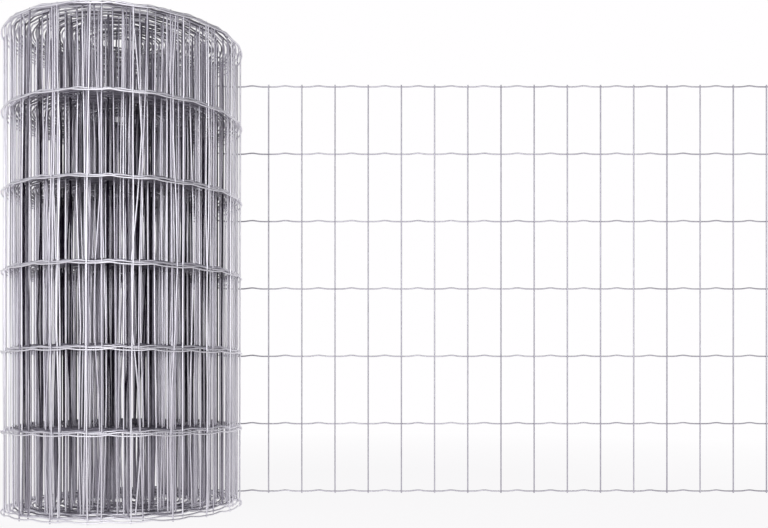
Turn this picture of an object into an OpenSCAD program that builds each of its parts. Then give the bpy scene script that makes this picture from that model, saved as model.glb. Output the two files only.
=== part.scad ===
// Roll of galvanised welded wire fencing, standing on end, with its free end unrolled flat to one side.
// Millimetres, +Z up. The origin is on the roll's axis at the level of the floor.

/* [Mesh] */

// Thickness of the drawn wire, the same for line wires and stays.
wire_d = 2.03; // [1.4:0.01:3.2]

// Number of long line wires, from the bottom edge to the top edge.
line_wires = 7; // [3:1:13]

// Height of one cell, from line wire to line wire.
line_pitch = 101.6; // [50:0.1:150]

// Width of one cell, from stay to stay.
stay_pitch = 50; // [25:0.1:100]

// How far each stay reaches past the two edge line wires.
stay_over = 2.5; // [2:0.1:10]

// How deep a stay is pressed into a line wire, and into the turn under it, where they are fused.
weld_sink = 0.3; // [0.1:0.05:0.5]

/* [Wound roll] */

// Diameter of the roll, measured over its outer line wires.
roll_d = 303; // [200:1:400]

// Diameter of the open bore that the winding bar leaves.
bore_d = 30; // [24:1:80]

// Radial distance between the turns that stand out on the ends.
turn_pitch = 3.8; // [3:0.1:12]

// How far the turns stand out on the ends.
turn_h = 3; // [1:0.1:6]

/* [Unrolled end] */

// Number of stays in the length that is unrolled flat.
flat_stays = 19; // [4:1:40]

// Distance of the first flat stay from the line where the mesh leaves the roll.
first_stay = 22; // [22:0.1:48]

// Length of line wire left past the last stay where the mesh was cut.
cut_stub = 2.5; // [1.5:0.1:20]

// Clearance between the flat mesh and the roll where it leaves the roll.
lay_gap = 0.3; // [0.1:0.05:0.6]

/* [Hidden] */

// A line wire and the stay welded to it lie this far apart, the stay on the inside.
weld_step = wire_d - weld_sink;

roll_r = roll_d / 2;
line_r = roll_r - wire_d / 2;
stay_r = line_r - weld_step;
wall_r = stay_r - wire_d / 2 + weld_sink;
bore_r = bore_d / 2;
mesh_h = (line_wires - 1) * line_pitch;
stay_h = mesh_h + 2 * stay_over;

// Turns on the ends: the last one ends flush with the wall, the first one at the bore.
crest_w = turn_pitch * 0.45;
turn_steps = floor((wall_r - crest_w - bore_r) / turn_pitch);
turn_step = (wall_r - crest_w - bore_r) / turn_steps;

// Six-sided wire, so that flat sides meet where line wires and stays cross.
wire_corner_d = wire_d / cos(30);
wire_flat = wire_corner_d / 4;

// Stays of the outer turn stand on the wall, inside the line wires.
stay_angle = stay_pitch / line_r * 180 / PI;
first_angle = (stay_pitch - first_stay) / line_r * 180 / PI;
ring_stays = floor((360 - first_angle) / stay_angle) + 1;

// The flat mesh lies against the back of the roll, clear of it at the line wires and at the first stay.
line_clear_y = roll_r + wire_d / 2;
stay_clear_y = sqrt(pow(roll_r, 2) - pow(first_stay - wire_d, 2)) + wire_d / 2 + weld_step;
flat_y = max(line_clear_y, stay_clear_y) + lay_gap;
flat_stay_y = flat_y - weld_step;
flat_l = first_stay + (flat_stays - 1) * stay_pitch + cut_stub;

// Outline of one end from the bore to the wall: a crest and a groove for each turn.
function end_low() = [
    for (k = [0 : turn_steps - 1])
        each [
            [bore_r + k * turn_step, 0],
            [bore_r + k * turn_step + crest_w, 0],
            [bore_r + k * turn_step + crest_w, turn_h],
            [bore_r + (k + 1) * turn_step, turn_h]
        ],
    [wall_r - crest_w, 0],
    [wall_r, 0]
];

// The same outline upside down for the other end, from the wall back to the bore.
function end_high() = [
    for (i = [len(end_low()) - 1 : -1 : 0])
        [end_low()[i][0], stay_h - end_low()[i][1]]
];

// Outer line wires, each a ridge round the wall.
function wall_rings() = [
    for (i = [0 : line_wires - 1])
        each [
            [wall_r, stay_over + i * line_pitch - 2 * wire_flat],
            [line_r, stay_over + i * line_pitch - 2 * wire_flat],
            [roll_r, stay_over + i * line_pitch - wire_flat],
            [roll_r, stay_over + i * line_pitch + wire_flat],
            [line_r, stay_over + i * line_pitch + 2 * wire_flat],
            [wall_r, stay_over + i * line_pitch + 2 * wire_flat]
        ]
];

// One upright stay of six-sided wire.
module stay() {
    cylinder(d = wire_corner_d, h = stay_h, $fn = 6);
}

// One line wire of six-sided wire, lying along +X.
module line_wire() {
    rotate([0, 90, 0])
        cylinder(d = wire_corner_d, h = flat_l, $fn = 6);
}

// The wound turns as one turned body with its bore, its outer line wires and the outer stays.
module wound_roll() {
    color([0.70, 0.71, 0.73])
        union() {
            rotate_extrude($fn = 120)
                polygon(concat(end_low(), wall_rings(), end_high()));
            for (i = [0 : ring_stays - 1])
                rotate([0, 0, first_angle + i * stay_angle])
                    translate([0, stay_r, 0])
                        stay();
        }
}

// The free end of the same mesh, standing flat: line wires with the stays welded across them.
module unrolled_end() {
    color([0.74, 0.75, 0.77])
        union() {
            for (i = [0 : line_wires - 1])
                translate([0, flat_y, stay_over + i * line_pitch])
                    line_wire();
            for (k = [0 : flat_stays - 1])
                translate([first_stay + k * stay_pitch, flat_stay_y, 0])
                    stay();
        }
}

wound_roll();
unrolled_end();
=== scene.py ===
import math

import bpy
import numpy as np
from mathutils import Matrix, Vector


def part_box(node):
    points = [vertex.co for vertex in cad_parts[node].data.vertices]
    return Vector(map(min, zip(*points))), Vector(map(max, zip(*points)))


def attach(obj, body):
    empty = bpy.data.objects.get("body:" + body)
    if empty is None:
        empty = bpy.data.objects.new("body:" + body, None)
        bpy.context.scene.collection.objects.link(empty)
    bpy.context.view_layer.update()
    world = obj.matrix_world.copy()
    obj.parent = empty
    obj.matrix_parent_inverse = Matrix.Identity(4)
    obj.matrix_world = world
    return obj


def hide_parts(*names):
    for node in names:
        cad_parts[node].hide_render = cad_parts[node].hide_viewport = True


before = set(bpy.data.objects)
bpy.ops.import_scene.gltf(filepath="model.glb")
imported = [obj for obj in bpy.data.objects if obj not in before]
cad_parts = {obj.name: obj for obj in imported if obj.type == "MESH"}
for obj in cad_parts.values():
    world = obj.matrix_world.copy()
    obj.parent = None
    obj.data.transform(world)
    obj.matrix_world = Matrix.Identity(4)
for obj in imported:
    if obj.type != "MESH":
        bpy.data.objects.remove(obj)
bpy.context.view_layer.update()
flatLow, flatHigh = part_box("unrolled_end")
mm = 0.001

# The fence sheet itself: what a maker would order it by.
sheet = {
    "wire": 2.03 * mm,        # drawn wire, 14 gauge
    "lineWires": 7,
    "cellHigh": 101.6 * mm,
    "cellWide": 50.0 * mm,
    "stayOver": 2.5 * mm,     # stay past the edge wires
    "weldSink": 0.3 * mm,     # set-down of the weld
    "crimpHigh": 1.6 * mm,    # bump in the line wire between two stays
    "crimpWide": 0.17,        # its half width, in cells
    "firstStay": 22.0 * mm,   # flat stay nearest to the roll
    "endGap": 0.1 * mm,       # no ring of a wire lies nearer to its cut end
    "length": 20.0,           # sold length, m
}
lineHeights = sheet["stayOver"] + sheet["cellHigh"] * np.arange(sheet["lineWires"])
stayHigh = lineHeights[-1] + sheet["stayOver"]
stayLift = sheet["weldSink"] - sheet["wire"]
flatLong = flatHigh[0] - flatLow[0]
woundLong = sheet["length"] - flatLong

# How the sheet is wound, and how far its turns stray from a true coil. A row of waves is the share of a sine,
# its radians for each radian of winding, its start, and its shift over the height of the sheet.
winding = {
    "outer": flatHigh[1] - sheet["wire"] / 2,  # line wire where the sheet leaves the roll
    "bore": 20.5 * mm,        # line wire of the innermost turn
    "holdLong": 120 * mm,     # length over which the sheet bends from flat into the roll
    "oval": 2.2 * mm,         # out-of-round of the outer turns
    "ovalStart": -1.8,
    "ovalShift": 0.5,
    "aside": 1.0 * mm,        # how far they lie towards +X
    "bulge": 0.5 * mm,        # unevenness of the outer turns
    "innerBulge": 2.2 * mm,   # and of those round the bore
    "bulgeWaves": ((0.6, 0.97, 1.3, 2.1), (0.4, 3.05, 0.0, -1.7)),
    "looseFrom": 100 * mm,    # radius at which the inner turns begin
    "looseOver": 22 * mm,
    "step": 2.9 * mm,         # the second turn stands this much above the outer one
    "stepFrom": 4.2,          # where it starts to climb, in radians of winding
    "stepOver": 3.6,
    "rise": 4.0 * mm,         # and the deeper turns this much above the second
    "riseFrom": 9.4,
    "riseOver": 11.0,
    "slip": 1.4 * mm,         # turn-to-turn height unevenness
    "slipWaves": ((0.6, 0.83, 0.0, 0.0), (0.4, 2.29, 0.5, 0.0)),
    "lean": 6.5 * mm,         # how far the top of a stay strays sideways
    "leanWaves": ((0.6, 0.57, 0.4, 0.0), (0.4, 1.31, 2.0, 0.0)),
    "seed": 2681,
}
pitch = np.pi * (winding["outer"] ** 2 - winding["bore"] ** 2) / woundLong
rng = np.random.default_rng(winding["seed"])


def coil(along):
    # Radius and angle at a length along the wound sheet. Each turn lies one pitch inside the one before, so
    # the length wound down to a radius is pi (outer^2 - radius^2) / pitch, and the angle
    # 2 pi (outer - radius) / pitch.
    radius = np.sqrt(winding["outer"] ** 2 - np.maximum(along, 0) * pitch / np.pi)
    return radius, 2 * np.pi * (winding["outer"] - radius) / pitch


def smoothStep(x):
    # 0 below 0, 1 above 1, and 3x^2 - 2x^3 between them
    x = np.clip(x, 0, 1)
    return x * x * (3 - 2 * x)


def waves(rows, x, across):
    # Sum of sines: for each row share * sin(rate * x + start + shift * across)
    return sum(share * np.sin(rate * x + start + shift * across) for share, rate, start, shift in rows)


def sheetPoint(along, high, lift):
    # Point and outward direction of the sheet. Before 0 the sheet runs straight along +X at the back of the
    # roll; after 0 it follows the coil. Sums of sines over the angle make the turns stray a little: sideways
    # nearly in step from turn to turn, so that they keep apart, and up and down each in its own way, never
    # below the floor.
    along, high, lift = np.broadcast_arrays(along, high, lift)
    radius, turned = coil(along)
    held = smoothStep(along / winding["holdLong"])
    level = high / stayHigh - 0.5
    loose = smoothStep((winding["looseFrom"] - radius) / winding["looseOver"])
    bulge = winding["bulge"] + (winding["innerBulge"] - winding["bulge"]) * loose
    oval = winding["oval"] * np.sin(2 * turned + winding["ovalStart"] + winding["ovalShift"] * level)
    oval = oval - winding["aside"] * np.sin(turned)
    stray = (1 - loose) * oval + bulge * waves(winding["bulgeWaves"], turned, level)
    deep = np.maximum(turned - winding["riseFrom"], 0) / winding["riseOver"]
    climb = (winding["step"] * smoothStep((turned - winding["stepFrom"]) / winding["stepOver"])
             + winding["rise"] * (1 - np.exp(-deep))
             + winding["slip"] * waves(winding["slipWaves"], turned, level))
    lean = winding["lean"] * waves(winding["leanWaves"], turned, level)
    angle = np.pi / 2 + turned + held * lean * level / radius
    out = np.stack([np.cos(angle), np.sin(angle), np.zeros_like(angle)], -1)
    point = out * (radius + held * stray + lift)[..., None]
    point[..., 0] += np.maximum(-along, 0)
    point[..., 2] = high + held * np.maximum(climb, 0)
    return point, out


def crimp(along):
    # Bump of a line wire: a bell curve midway between two stays, of crimpHigh
    cell = np.mod((along + sheet["firstStay"]) / sheet["cellWide"], 1)
    return sheet["crimpHigh"] * np.exp(-((cell - 0.5) / sheet["crimpWide"]) ** 2)


def cellStations(first, last, parts, origin):
    # Lengths from first to last at the same parts of every cell, with a stay at origin
    cells = np.arange(np.floor((first - origin) / sheet["cellWide"]), np.ceil(last / sheet["cellWide"]) + 1)
    inner = ((cells[:, None] + np.array(parts)) * sheet["cellWide"] + origin).ravel()
    inner = inner[(inner > first + sheet["endGap"]) & (inner < last - sheet["endGap"])]
    return np.concatenate([[first], inner, [last]])


def wirePiece(name, points, outward, sides, node, tone):
    # Tube round each path: a ring across the path at every point, closed by a flat face at both ends.
    # points and outward are (wires, steps, 3); tone is one grey value for each wire or for each point.
    wires, steps = points.shape[:2]
    ahead = np.gradient(points, axis=1)
    ahead /= np.linalg.norm(ahead, axis=2, keepdims=True)
    across = np.cross(ahead, outward)
    across /= np.linalg.norm(across, axis=2, keepdims=True)
    outer = np.cross(across, ahead)
    turn = np.arange(sides) * 2 * np.pi / sides
    ring = np.cos(turn)[:, None] * outer[:, :, None] + np.sin(turn)[:, None] * across[:, :, None]
    verts = (points[:, :, None] + sheet["wire"] / 2 * ring).reshape(-1, 3)

    index = np.arange(wires * steps * sides).reshape(wires, steps, sides)
    low, high = index[:, :-1], index[:, 1:]
    quads = np.stack([low, high, np.roll(high, -1, 2), np.roll(low, -1, 2)], -1).reshape(-1, 4)
    caps = np.concatenate([index[:, 0], index[:, -1, ::-1]])
    loops = np.concatenate([quads.ravel(), caps.ravel()])
    starts = np.concatenate([np.arange(len(quads)) * 4, len(quads) * 4 + np.arange(len(caps)) * sides])
    smooth = np.concatenate([np.ones(len(quads), bool), np.zeros(len(caps), bool)])
    tones = np.repeat(np.broadcast_to(tone, (wires, steps)).ravel(), sides)

    data = bpy.data.meshes.new(name)
    data.vertices.add(len(verts))
    data.vertices.foreach_set("co", verts.ravel())
    data.loops.add(len(loops))
    data.loops.foreach_set("vertex_index", loops.astype(np.int32))
    data.polygons.add(len(starts))
    data.polygons.foreach_set("loop_start", starts.astype(np.int32))
    data.polygons.foreach_set("use_smooth", smooth)
    data.attributes.new("tone", "FLOAT", "POINT").data.foreach_set("value", tones.astype(np.float32))
    data.update(calc_edges=True)
    data.validate()

    # sharp rims, so that the cut ends don't shade the wire beside them
    ends = np.empty(len(data.edges) * 2, np.int32)
    data.edges.foreach_get("vertices", ends)
    station = ends.reshape(-1, 2) // sides % steps
    atEnd = (station[:, 0] == station[:, 1]) & (station[:, 0] % (steps - 1) == 0)
    data.edges.foreach_set("use_edge_sharp", atEnd)

    data.materials.append(galvanisedWire)
    piece = bpy.data.objects.new(name, data)
    bpy.context.collection.objects.link(piece)
    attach(piece, "root")
    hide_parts(node)
    print("%s: %d wires, %d faces" % (name, wires, len(starts)))


def linear(hexColour):
    # sRGB hex to linear light
    value = np.array([int(hexColour[i:i + 2], 16) for i in (1, 3, 5)]) / 255
    light = np.where(value <= 0.04045, value / 12.92, ((value + 0.055) / 1.055) ** 2.4)
    return (*light.tolist(), 1.0)


def addNode(tree, kind, settings=None, links=None):
    # One node with its settings; a setting or link is named by its socket, or by the socket's number
    node = tree.nodes.new(kind)
    for key, value in (settings or {}).items():
        if isinstance(key, int) or key in node.inputs.keys():
            node.inputs[key].default_value = value
        else:
            setattr(node, key, value)
    for key, socket in (links or {}).items():
        tree.links.new(socket, node.inputs[key])
    return node


def newTree(owner):
    # Empty node tree of a material or world
    owner.use_nodes = True
    owner.node_tree.nodes.clear()
    return owner.node_tree


# Hot-dip galvanised steel wire: drawn smooth, then coated in zinc. The eye gets a cool satin grey with soft
# highlights along the wire and small dull patches where the zinc set. Turns deep in the roll are drawn
# darker,
# in places near black: painted shade, so that the roll darkens inwards.
zinc = {
    # The darkest colour is painted shade for wires deep in the roll
    "bright": "#ECEAF1", "dull": "#A9A5B1", "paintedShade": "#18111F",
    "dullAt": 0.5,            # the tone that looks dull, between 0 for painted shade and 1 for bright
    "roughLow": 0.26, "roughHigh": 0.42,
    "patch": 9.0 * mm,        # size of a dull patch
    "patchTone": 0.2,         # how much it changes the tone
    "patchDetail": 3.0, "patchGrain": 0.6,
    "shadeFade": 0.22,           # part of the height at each open end of the roll over which the painted shade fades
}
galvanisedWire = bpy.data.materials.new("galvanised steel wire")
tree = newTree(galvanisedWire)
place = addNode(tree, "ShaderNodeTexCoord")
patches = addNode(tree, "ShaderNodeTexNoise",
                  {"Scale": 1 / zinc["patch"], "Detail": zinc["patchDetail"],
                   "Roughness": zinc["patchGrain"]},
                  {"Vector": place.outputs["Object"]})
toneRead = addNode(tree, "ShaderNodeAttribute", {"attribute_name": "tone"})
mixed = addNode(tree, "ShaderNodeMath",
                {"operation": "MULTIPLY_ADD", "use_clamp": True, 1: zinc["patchTone"]},
                {0: patches.outputs["Fac"], 2: toneRead.outputs["Fac"]})
# Tone 0 gives the painted shade colour, the dull zinc lies midway and tone 1 gives the bright zinc
ramp = addNode(tree, "ShaderNodeValToRGB", None, {0: mixed.outputs[0]})
ramp.color_ramp.elements[0].color = linear(zinc["paintedShade"])
ramp.color_ramp.elements[0].position = zinc["patchTone"] / 2
ramp.color_ramp.elements[1].color = linear(zinc["bright"])
ramp.color_ramp.elements.new(zinc["dullAt"]).color = linear(zinc["dull"])
rough = addNode(tree, "ShaderNodeMapRange", {"To Min": zinc["roughHigh"], "To Max": zinc["roughLow"]},
                {"Value": patches.outputs["Fac"]})
zincShader = addNode(tree, "ShaderNodeBsdfPrincipled", {"Metallic": 1.0},
                     {"Base Color": ramp.outputs[0], "Roughness": rough.outputs[0]})
addNode(tree, "ShaderNodeOutputMaterial", None, {"Surface": zincShader.outputs[0]})
print("material:", galvanisedWire.name)


def unshaded(paintedShade, high, endShade):
    # Share of the tone that the painted shade leaves: 1 less the shade. Towards the two open ends of the roll
    # the painted shade fades, and there only the share given as the last argument is left.
    level = high / stayHigh
    heightShade = smoothStep(np.minimum(level, 1 - level) / zinc["shadeFade"])
    return 1 - paintedShade * (endShade + (1 - endShade) * heightShade)


print("winding: %.1f turns at %.2f mm" % (coil(woundLong)[1] / (2 * np.pi), pitch / mm))

# Line wires of the wound part, one piece for each wire, from the flat end to the bore.
woundLine = {
    "sides": 6,
    "cellParts": [0.0, 0.2, 0.34, 0.43, 0.5, 0.57, 0.66, 0.8],  # closest together over the crimp
    "tone": 0.95,
    "toneWaves": ((0.1, 7.3, 0.0, 1.9), (0.05, 31.0, 0.0, 1.0)),  # along the wire in m, shifted wire by wire
    "shadedShare": 0.8,           # share of their tone that the painted shade takes inside the roll
    "shadeFrom": 149 * mm,    # radius at which the painted shade begins
    "shadeTo": 134 * mm,      # and at which it is at its full depth
    "shadeStripe": 3.4,            # at the open ends, every so many turns a bright stripe follows one of painted shade
}
stations = cellStations(0.0, woundLong, woundLine["cellParts"], -sheet["firstStay"])
radius, turned = coil(stations)
# Painted shade of the line wires: none on the outer turn, full a few turns in, and at the open ends in
# stripes that alternate turn by turn
paintedShade = smoothStep((woundLine["shadeFrom"] - radius) / (woundLine["shadeFrom"] - woundLine["shadeTo"]))
paintedShade *= woundLine["shadedShare"]
shadeStripes = smoothStep(0.5 + np.sin(turned / woundLine["shadeStripe"]))
for number, lineHigh in enumerate(lineHeights):
    path, out = sheetPoint(stations, lineHigh + crimp(stations), 0.0)
    tone = woundLine["tone"] + waves(woundLine["toneWaves"], stations, number)
    tone *= unshaded(paintedShade, lineHigh, shadeStripes)
    wirePiece("wound_line_wire_%d" % (number + 1), path[None], out[None], woundLine["sides"],
              "wound_roll", tone)

# Stays of the wound part, all in one piece, inside the line wires that they are welded to.
woundStay = {
    "sides": 6, "steps": 9,
    "jitter": 1.6 * mm,       # how unevenly they were set
    "bow": 2.2 * mm,          # how far they are bent
    "waves": (1.0, 4.0),      # half waves of that bend over the height
    "tones": (0.6, 1.1), "toneSeed": 5,
    "shadedShare": 0.36,          # share of stays drawn in painted shade deep inside
    "shadeDepth": 24 * mm,    # how deep it takes to get there
    "shadeSoft": 0.22,        # spread between an unshaded stay and one in painted shade
    "endShade": 0.6,          # share of the painted shade that is left at the open ends
}
stayAlong = np.arange(sheet["cellWide"] - sheet["firstStay"], woundLong, sheet["cellWide"])[:, None]
count = (len(stayAlong), 1)
level = np.linspace(0, 1, woundStay["steps"])
bow = rng.normal(0, woundStay["bow"], count)
bow = bow * np.sin(np.pi * level * rng.uniform(*woundStay["waves"], count))
setAlong = stayAlong + rng.normal(0, woundStay["jitter"], count)
path, out = sheetPoint(setAlong + bow, level * stayHigh, stayLift)
toneRng = np.random.default_rng(woundStay["toneSeed"])
tone = toneRng.uniform(*woundStay["tones"], count)
# Painted shade of the stays: the deeper in the roll, the more of them are drawn dark, picked at random
depth = winding["outer"] - coil(stayAlong)[0]
share = woundStay["shadedShare"] * (1 - np.exp(-depth / woundStay["shadeDepth"]))
paintedShade = smoothStep(0.5 + (share - toneRng.uniform(0, 1, count)) / woundStay["shadeSoft"])
tone = tone * unshaded(paintedShade, level * stayHigh, woundStay["endShade"])
wirePiece("wound_stays", path, out, woundStay["sides"], "wound_roll", tone)

# The flat free end: the same wires, rounder because they are seen one by one.
# Their tones lie below those of the wound wires: painted shade, the same zinc drawn darker on the flat end
flatMesh = {
    "sides": 10, "cellSteps": 16, "steps": 61,
    "lineTone": 0.53,
    "toneWaves": ((0.05, 40.0, 0.0, 2.1),),  # along the wire in m, shifted wire by wire
    "stayTones": (0.43, 0.56),
}
cellParts = np.arange(flatMesh["cellSteps"]) / flatMesh["cellSteps"]
stations = cellStations(0.0, flatLong, cellParts, sheet["firstStay"])
path, out = sheetPoint(-stations, lineHeights[:, None] + crimp(-stations), 0.0)
numbers = np.arange(sheet["lineWires"])[:, None]
tone = flatMesh["lineTone"] + waves(flatMesh["toneWaves"], stations, numbers)
wirePiece("flat_line_wires", path, out, flatMesh["sides"], "unrolled_end", tone)
stayAlong = np.arange(sheet["firstStay"], flatLong, sheet["cellWide"])[:, None]
path, out = sheetPoint(-stayAlong, np.linspace(0, stayHigh, flatMesh["steps"]), stayLift)
tone = rng.uniform(*flatMesh["stayTones"], (len(stayAlong), 1))
wirePiece("flat_stays", path, out, flatMesh["sides"], "unrolled_end", tone)

# Studio: a pale floor, a white backdrop behind the roll, and soft lamps in front of it.
studio = {
    "floor": "#F4F3F5", "backdrop": "#FFFEFF", "air": "#F2F2F6",
    "backFrom": 0.5, "backTo": 0.9,         # a ray's part along +Y over which it comes to meet the backdrop
    "softFill": 0.95, "restFill": 0.25,     # soft light from the front left, and from all other sides
    "softWay": (0.643, 0.766, 0.0),         # the way in which the soft light shines
    "softFrom": -0.1, "softTo": -0.75,      # a ray's part along that over which it comes to meet the light
    "floorSize": 6.0, "floorRough": 0.9,
    "floorGlow": 0.9,                       # share of white in the floor beside the roll
    "fadeFrom": 0.5, "fadeTo": 1.6,         # distance over which the floor turns all white
    "fadeMiddle": (0.3, 0.0, 0.0),          # and the place that it is measured from
}


def shownRays(tree):
    # Two sockets: 1 for a camera ray, and 1 for any ray that shows what it hits as it is, which is the
    # greatest of camera, glossy and transmission ray
    rays = addNode(tree, "ShaderNodeLightPath").outputs
    shown = addNode(tree, "ShaderNodeMath", {"operation": "MAXIMUM"},
                    {0: rays["Is Camera Ray"], 1: rays["Is Glossy Ray"]})
    shown = addNode(tree, "ShaderNodeMath", {"operation": "MAXIMUM"},
                    {0: shown.outputs[0], 1: rays["Is Transmission Ray"]})
    return rays["Is Camera Ray"], shown.outputs[0]


world = bpy.data.worlds.new("studio")
bpy.context.scene.world = world
tree = newTree(world)
cameraRay, shown = shownRays(tree)
heading = addNode(tree, "ShaderNodeTexCoord").outputs["Generated"]
parts = addNode(tree, "ShaderNodeSeparateXYZ", None, {0: heading})
behind = addNode(tree, "ShaderNodeMapRange", {"From Min": studio["backFrom"], "From Max": studio["backTo"]},
                 {"Value": parts.outputs["Y"]})
seen = addNode(tree, "ShaderNodeMath", {"operation": "MULTIPLY"}, {0: shown, 1: behind.outputs[0]})
seen = addNode(tree, "ShaderNodeMath", {"operation": "MAXIMUM"}, {0: seen.outputs[0], 1: cameraRay})
along = addNode(tree, "ShaderNodeVectorMath", {"operation": "DOT_PRODUCT", 1: studio["softWay"]},
                {0: heading})
fill = addNode(tree, "ShaderNodeMapRange",
               {"From Min": studio["softFrom"], "From Max": studio["softTo"],
                "To Min": studio["restFill"], "To Max": studio["softFill"]},
               {"Value": along.outputs["Value"]})
soft = addNode(tree, "ShaderNodeBackground", {"Color": linear(studio["air"])}, {"Strength": fill.outputs[0]})
white = addNode(tree, "ShaderNodeBackground", {"Color": linear(studio["backdrop"]), "Strength": 1.0})
both = addNode(tree, "ShaderNodeMixShader", None,
               {0: seen.outputs[0], 1: soft.outputs[0], 2: white.outputs[0]})
addNode(tree, "ShaderNodeOutputWorld", None, {"Surface": both.outputs[0]})

# Pale matt floor that keeps the roll's shadow and fades into the white backdrop.
paleFloor = bpy.data.materials.new("pale studio floor")
tree = newTree(paleFloor)
cameraRay, shown = shownRays(tree)
spot = addNode(tree, "ShaderNodeVectorMath", {"operation": "DISTANCE", 1: studio["fadeMiddle"]},
               {0: addNode(tree, "ShaderNodeTexCoord").outputs["Object"]})
faded = addNode(tree, "ShaderNodeMapRange",
                {"From Min": studio["fadeFrom"], "From Max": studio["fadeTo"], "To Min": studio["floorGlow"]},
                {"Value": spot.outputs["Value"]})
glow = addNode(tree, "ShaderNodeMath", {"operation": "MULTIPLY"}, {0: shown, 1: faded.outputs[0]})
paint = addNode(tree, "ShaderNodeBsdfPrincipled",
                {"Base Color": linear(studio["floor"]), "Roughness": studio["floorRough"]})
white = addNode(tree, "ShaderNodeEmission", {"Color": linear(studio["backdrop"]), "Strength": 1.0})
both = addNode(tree, "ShaderNodeMixShader", None,
               {0: glow.outputs[0], 1: paint.outputs[0], 2: white.outputs[0]})
addNode(tree, "ShaderNodeOutputMaterial", None, {"Surface": both.outputs[0]})

corners = studio["floorSize"] * np.array([(-1, -1, 0), (1, -1, 0), (1, 1, 0), (-1, 1, 0)])
floorData = bpy.data.meshes.new("floor")
floorData.from_pydata(corners.tolist(), [], [(0, 1, 2, 3)])
floorData.materials.append(paleFloor)
floor = bpy.data.objects.new("floor", floorData)
bpy.context.collection.objects.link(floor)


def softLamp(name, place, target, wide, tall, power):
    # Rectangular lamp at place, its face turned to target
    data = bpy.data.lights.new(name, "AREA")
    data.shape = "RECTANGLE"
    data.size, data.size_y, data.energy = wide, tall, power
    lamp = bpy.data.objects.new(name, data)
    lamp.location = place
    away = np.array(place) - np.array(target)
    tilt = math.atan2(math.hypot(away[0], away[1]), away[2])
    lamp.rotation_euler = (tilt, 0, math.atan2(away[0], -away[1]))
    lamp.visible_camera = False
    bpy.context.collection.objects.link(lamp)


# Each lamp's place, the point that it faces, its width and height in m, and its power in W.
lamps = {
    "left lamp": ((-1.5, -0.8, 0.58), (0.0, 0.0, 0.4), 1.0, 1.15, 0.6),
    "right lamp": ((1.9, -0.8, 0.58), (0.0, 0.0, 0.4), 1.0, 1.15, 0.6),
    "front lamp": ((0.2, -1.9, 0.7), (0.1, 0.0, 0.35), 2.2, 1.0, 16.5),
}
for name, settings in lamps.items():
    softLamp(name, *settings)
print("studio: floor, backdrop and %d lamps" % len(lamps))

# Camera at the photograph's place: level and low, with the horizon below the middle of the picture.
view = {
    "place": (0.3458, -1.1966, 0.1752),
    "focal": 894.8,           # focal length in pixels
    "horizon": 376.6,         # row of the horizon, from the top of the picture
    "wide": 768, "tall": 528,
    "film": 36.0,             # width of the sensor, mm
    "near": 0.01,
}
lens = bpy.data.cameras.new("camera")
lens.sensor_fit = "HORIZONTAL"
lens.sensor_width = view["film"]
lens.lens = view["film"] * view["focal"] / view["wide"]
lens.shift_y = (view["horizon"] - view["tall"] / 2) / view["wide"]
lens.clip_start = view["near"]
camera = bpy.data.objects.new("camera", lens)
camera.location = view["place"]
camera.rotation_euler = (math.pi / 2, 0, 0)
bpy.context.collection.objects.link(camera)
bpy.context.scene.camera = camera
bpy.context.scene.view_settings.view_transform = "Standard"
print("camera: %.1f mm lens" % lens.lens)
